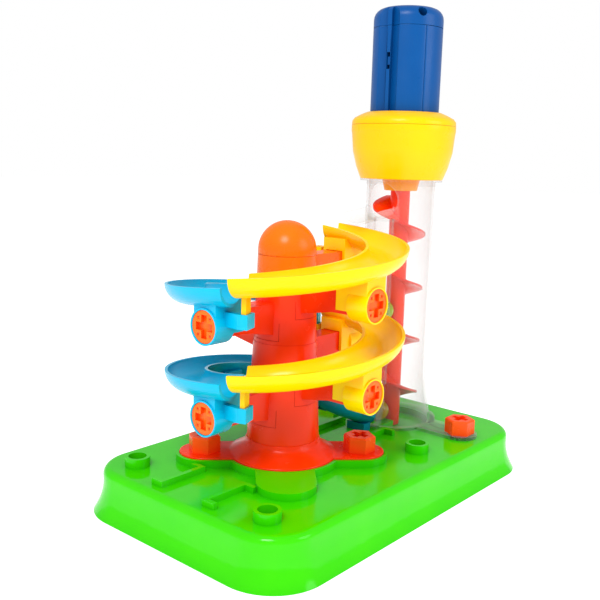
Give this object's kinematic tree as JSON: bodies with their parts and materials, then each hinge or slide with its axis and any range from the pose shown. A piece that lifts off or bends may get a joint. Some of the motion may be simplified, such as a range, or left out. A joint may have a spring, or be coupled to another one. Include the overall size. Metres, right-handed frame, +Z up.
{
  "type": "marble run",
  "caption": "Screw-lift marble run: a bolted column with spiral half-turn tracks, a clear lift tube and a removable toy driver on top.",
  "frame": {"origin": "centre of the base's underside, on the surface the toy stands on", "axes": "+Z up; +X runs along the base from the track column to the lift tube; +Y across the base, to the rear"},
  "size_m": [0.295, 0.185, 0.341],
  "materials": {
    "base_green": "moulded gloss",
    "column_red": "moulded gloss",
    "dome_orange": "moulded gloss",
    "bolt_orange": "moulded gloss",
    "track_yellow": "moulded gloss",
    "track_blue": "moulded gloss",
    "chute_blue": "moulded gloss",
    "clear_plastic": "moulded gloss",
    "collar_yellow": "moulded gloss",
    "bush_orange": "moulded gloss",
    "driver_blue": "moulded satin",
    "dark_plastic": "moulded satin",
    "can_metal": "plain metal",
    "screw_steel": "plain metal",
    "marble_green": "moulded gloss",
    "marble_amber": "moulded gloss"
  },
  "bodies": {
    "frame": {"base": "base_green", "column_foot": "column_red", "column_cap": "dome_orange", "foot_bolts": "bolt_orange", "flange_bolts": "bolt_orange", "upper_ring_right": "dome_orange", "upper_ring_front": "column_red", "upper_ring_left": "column_red", "upper_ring_rear": "column_red", "lower_ring_right": "column_red", "lower_ring_front": "column_red", "lower_ring_left": "column_red", "lower_ring_rear": "column_red", "upper_yellow_track": "track_yellow", "upper_yellow_bolts": "bolt_orange", "upper_blue_track": "track_blue", "upper_blue_bolts": "bolt_orange", "lower_yellow_track": "track_yellow", "lower_yellow_bolts": "bolt_orange", "lower_blue_track": "track_blue", "lower_blue_bolts": "bolt_orange", "exit_chute": "chute_blue", "lift_tube": "clear_plastic", "clear_chute": "clear_plastic", "screw_bush": "bush_orange", "collar_bowl": "collar_yellow", "collar_ring": "collar_yellow"},
    "screw": {"lifting_screw": "column_red"},
    "green_marble": {"green_marble": "marble_green"},
    "yellow_marble": {"yellow_marble": "marble_amber"},
    "driver": {"driver_front_shell": "driver_blue", "driver_rear_shell": "driver_blue", "driver_end_cap": "driver_blue", "end_cap_screws": "screw_steel", "driver_nose": "dark_plastic", "driver_gearbox": "dark_plastic", "driver_motor": "can_metal", "battery_cells": "can_metal", "battery_contact_plate": "screw_steel"},
    "bit": {"driver_chuck": "dark_plastic", "driver_bit": "dark_plastic"},
    "switch": {"direction_switch": "driver_blue"}
  },
  "joints": [
    {"name": "screw_spin", "type": "hinge", "parent": "frame", "child": "screw", "pos_m": [0.086, 0, 0.03], "axis": [0, 0, 1], "range_deg": [0, 690]},
    {"name": "green_marble_lift", "type": "slide", "parent": "frame", "child": "green_marble", "axis": [0, 0, 1], "range_m": [0, 0.0796]},
    {"name": "yellow_marble_lift", "type": "slide", "parent": "frame", "child": "yellow_marble", "axis": [0, 0, 1], "range_m": [0, 0.0796]},
    {"name": "driver_lift", "type": "slide", "parent": "frame", "child": "driver", "axis": [0, 0, 1], "range_m": [0, 0.075]},
    {"name": "bit_spin", "type": "hinge", "parent": "driver", "child": "bit", "pos_m": [0.086, 0, 0.23], "axis": [0, 0, 1], "range_deg": [0, 690]},
    {"name": "switch_slide", "type": "slide", "parent": "driver", "child": "switch", "axis": [0, 0, 1], "range_m": [-0.0025, 0.0025]}
  ],
  "couplings": [
    {"joint": "green_marble_lift", "follows": "screw_spin", "m_per_rad": 0.0066049},
    {"joint": "yellow_marble_lift", "follows": "screw_spin", "m_per_rad": 0.0066049},
    {"joint": "bit_spin", "follows": "screw_spin", "ratio": 1}
  ]
}
